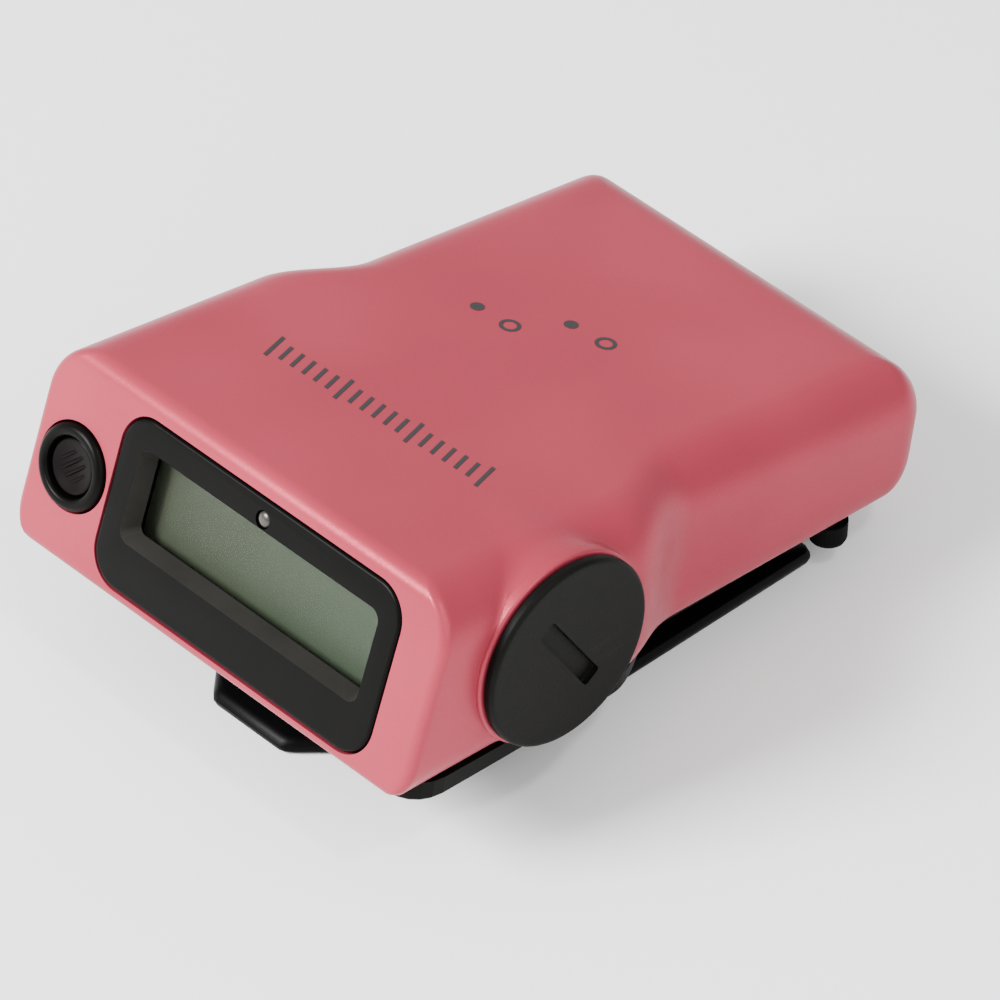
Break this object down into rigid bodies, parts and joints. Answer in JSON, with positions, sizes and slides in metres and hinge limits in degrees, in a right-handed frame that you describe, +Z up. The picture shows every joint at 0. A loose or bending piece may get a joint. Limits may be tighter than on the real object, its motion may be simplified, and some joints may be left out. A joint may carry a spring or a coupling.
{
  "type": "pager-style radiation dosimeter",
  "caption": "Pager-style personal radiation dosimeter: wedge case with a small display, push button, coin-slot battery cap and a sprung belt clip.",
  "frame": {"origin": "middle of the belt clip plate's outer face, which the part lies on", "axes": "+Z up from the face it lies on, +Y from the display end to the rear, +X towards the battery cap"},
  "size_m": [0.0701, 0.0908, 0.0387],
  "materials": {
    "case_pink": "satin",
    "satin_black": "satin",
    "gloss_black": "gloss",
    "rubber_black": "matte",
    "case_inner": "matte",
    "clear": "clear gloss",
    "lens": "gloss",
    "lcd": "satin",
    "white": "matte",
    "board": "satin",
    "cell": "satin",
    "grey_metal": "brushed",
    "dark_metal": "brushed",
    "spring_metal": "polished",
    "ribbon": "satin"
  },
  "bodies": {
    "case": {"top_case": "case_pink", "base_cover": "satin_black", "display_bezel": "gloss_black", "display_window": "clear", "lcd_panel": "lcd", "lcd_backlight": "white", "alarm_light_pipe": "lens", "button_ring": "gloss_black", "button_switch": "grey_metal", "button_board": "board", "battery_tube": "case_inner", "battery_cell": "cell", "positive_contact": "spring_metal", "main_board": "board", "gamma_detector": "grey_metal", "neutron_detector": "dark_metal", "processor_shield": "grey_metal", "alarm_sounder": "satin_black", "vibration_motor": "grey_metal", "case_gasket": "rubber_black", "case_screw_front_left": "grey_metal", "case_screw_front_right": "grey_metal", "case_screw_rear_left": "grey_metal", "case_screw_rear_right": "grey_metal", "rear_foot_left": "rubber_black", "rear_foot_right": "rubber_black", "display_ribbon": "ribbon", "clip_mount": "satin_black", "clip_pin": "grey_metal", "clip_spring": "spring_metal", "clip_screw_front": "grey_metal", "clip_screw_rear": "grey_metal"},
    "button": {"push_button": "rubber_black"},
    "cap_carrier": {"cap_contact": "spring_metal", "cap_spring": "spring_metal"},
    "cap": {"battery_cap": "satin_black", "cap_seal": "rubber_black"},
    "clip": {"clip_plate": "satin_black"},
    "weight": {"motor_weight": "dark_metal"}
  },
  "joints": [
    {"name": "button_press", "type": "slide", "parent": "case", "child": "button", "axis": [0, 0.9376, -0.3476], "range_m": [0, 0.0006], "stiffness_N_per_m": 800, "springref_m": -0.0008},
    {"name": "cap_travel", "type": "slide", "parent": "case", "child": "cap_carrier", "axis": [1, 0, 0], "range_m": [0, 0.0045]},
    {"name": "cap_turn", "type": "hinge", "parent": "cap_carrier", "child": "cap", "pos_m": [0.0345, -0.01704, 0.024], "axis": [1, 0, 0], "range_deg": [0, 1080]},
    {"name": "clip_swing", "type": "hinge", "parent": "case", "child": "clip", "pos_m": [0, -0.0065, 0.005], "axis": [-1, 0, 0], "range_deg": [0, 12], "stiffness_Nm_per_rad": 0.6, "springref_deg": -20.05},
    {"name": "weight_spin", "type": "hinge", "parent": "case", "child": "weight", "pos_m": [0, 0.01069, 0.0131], "axis": [1, 0, 0], "continuous": true}
  ],
  "couplings": [
    {"joint": "cap_travel", "follows": "cap_turn", "m_per_rad": 0.00023873}
  ]
}
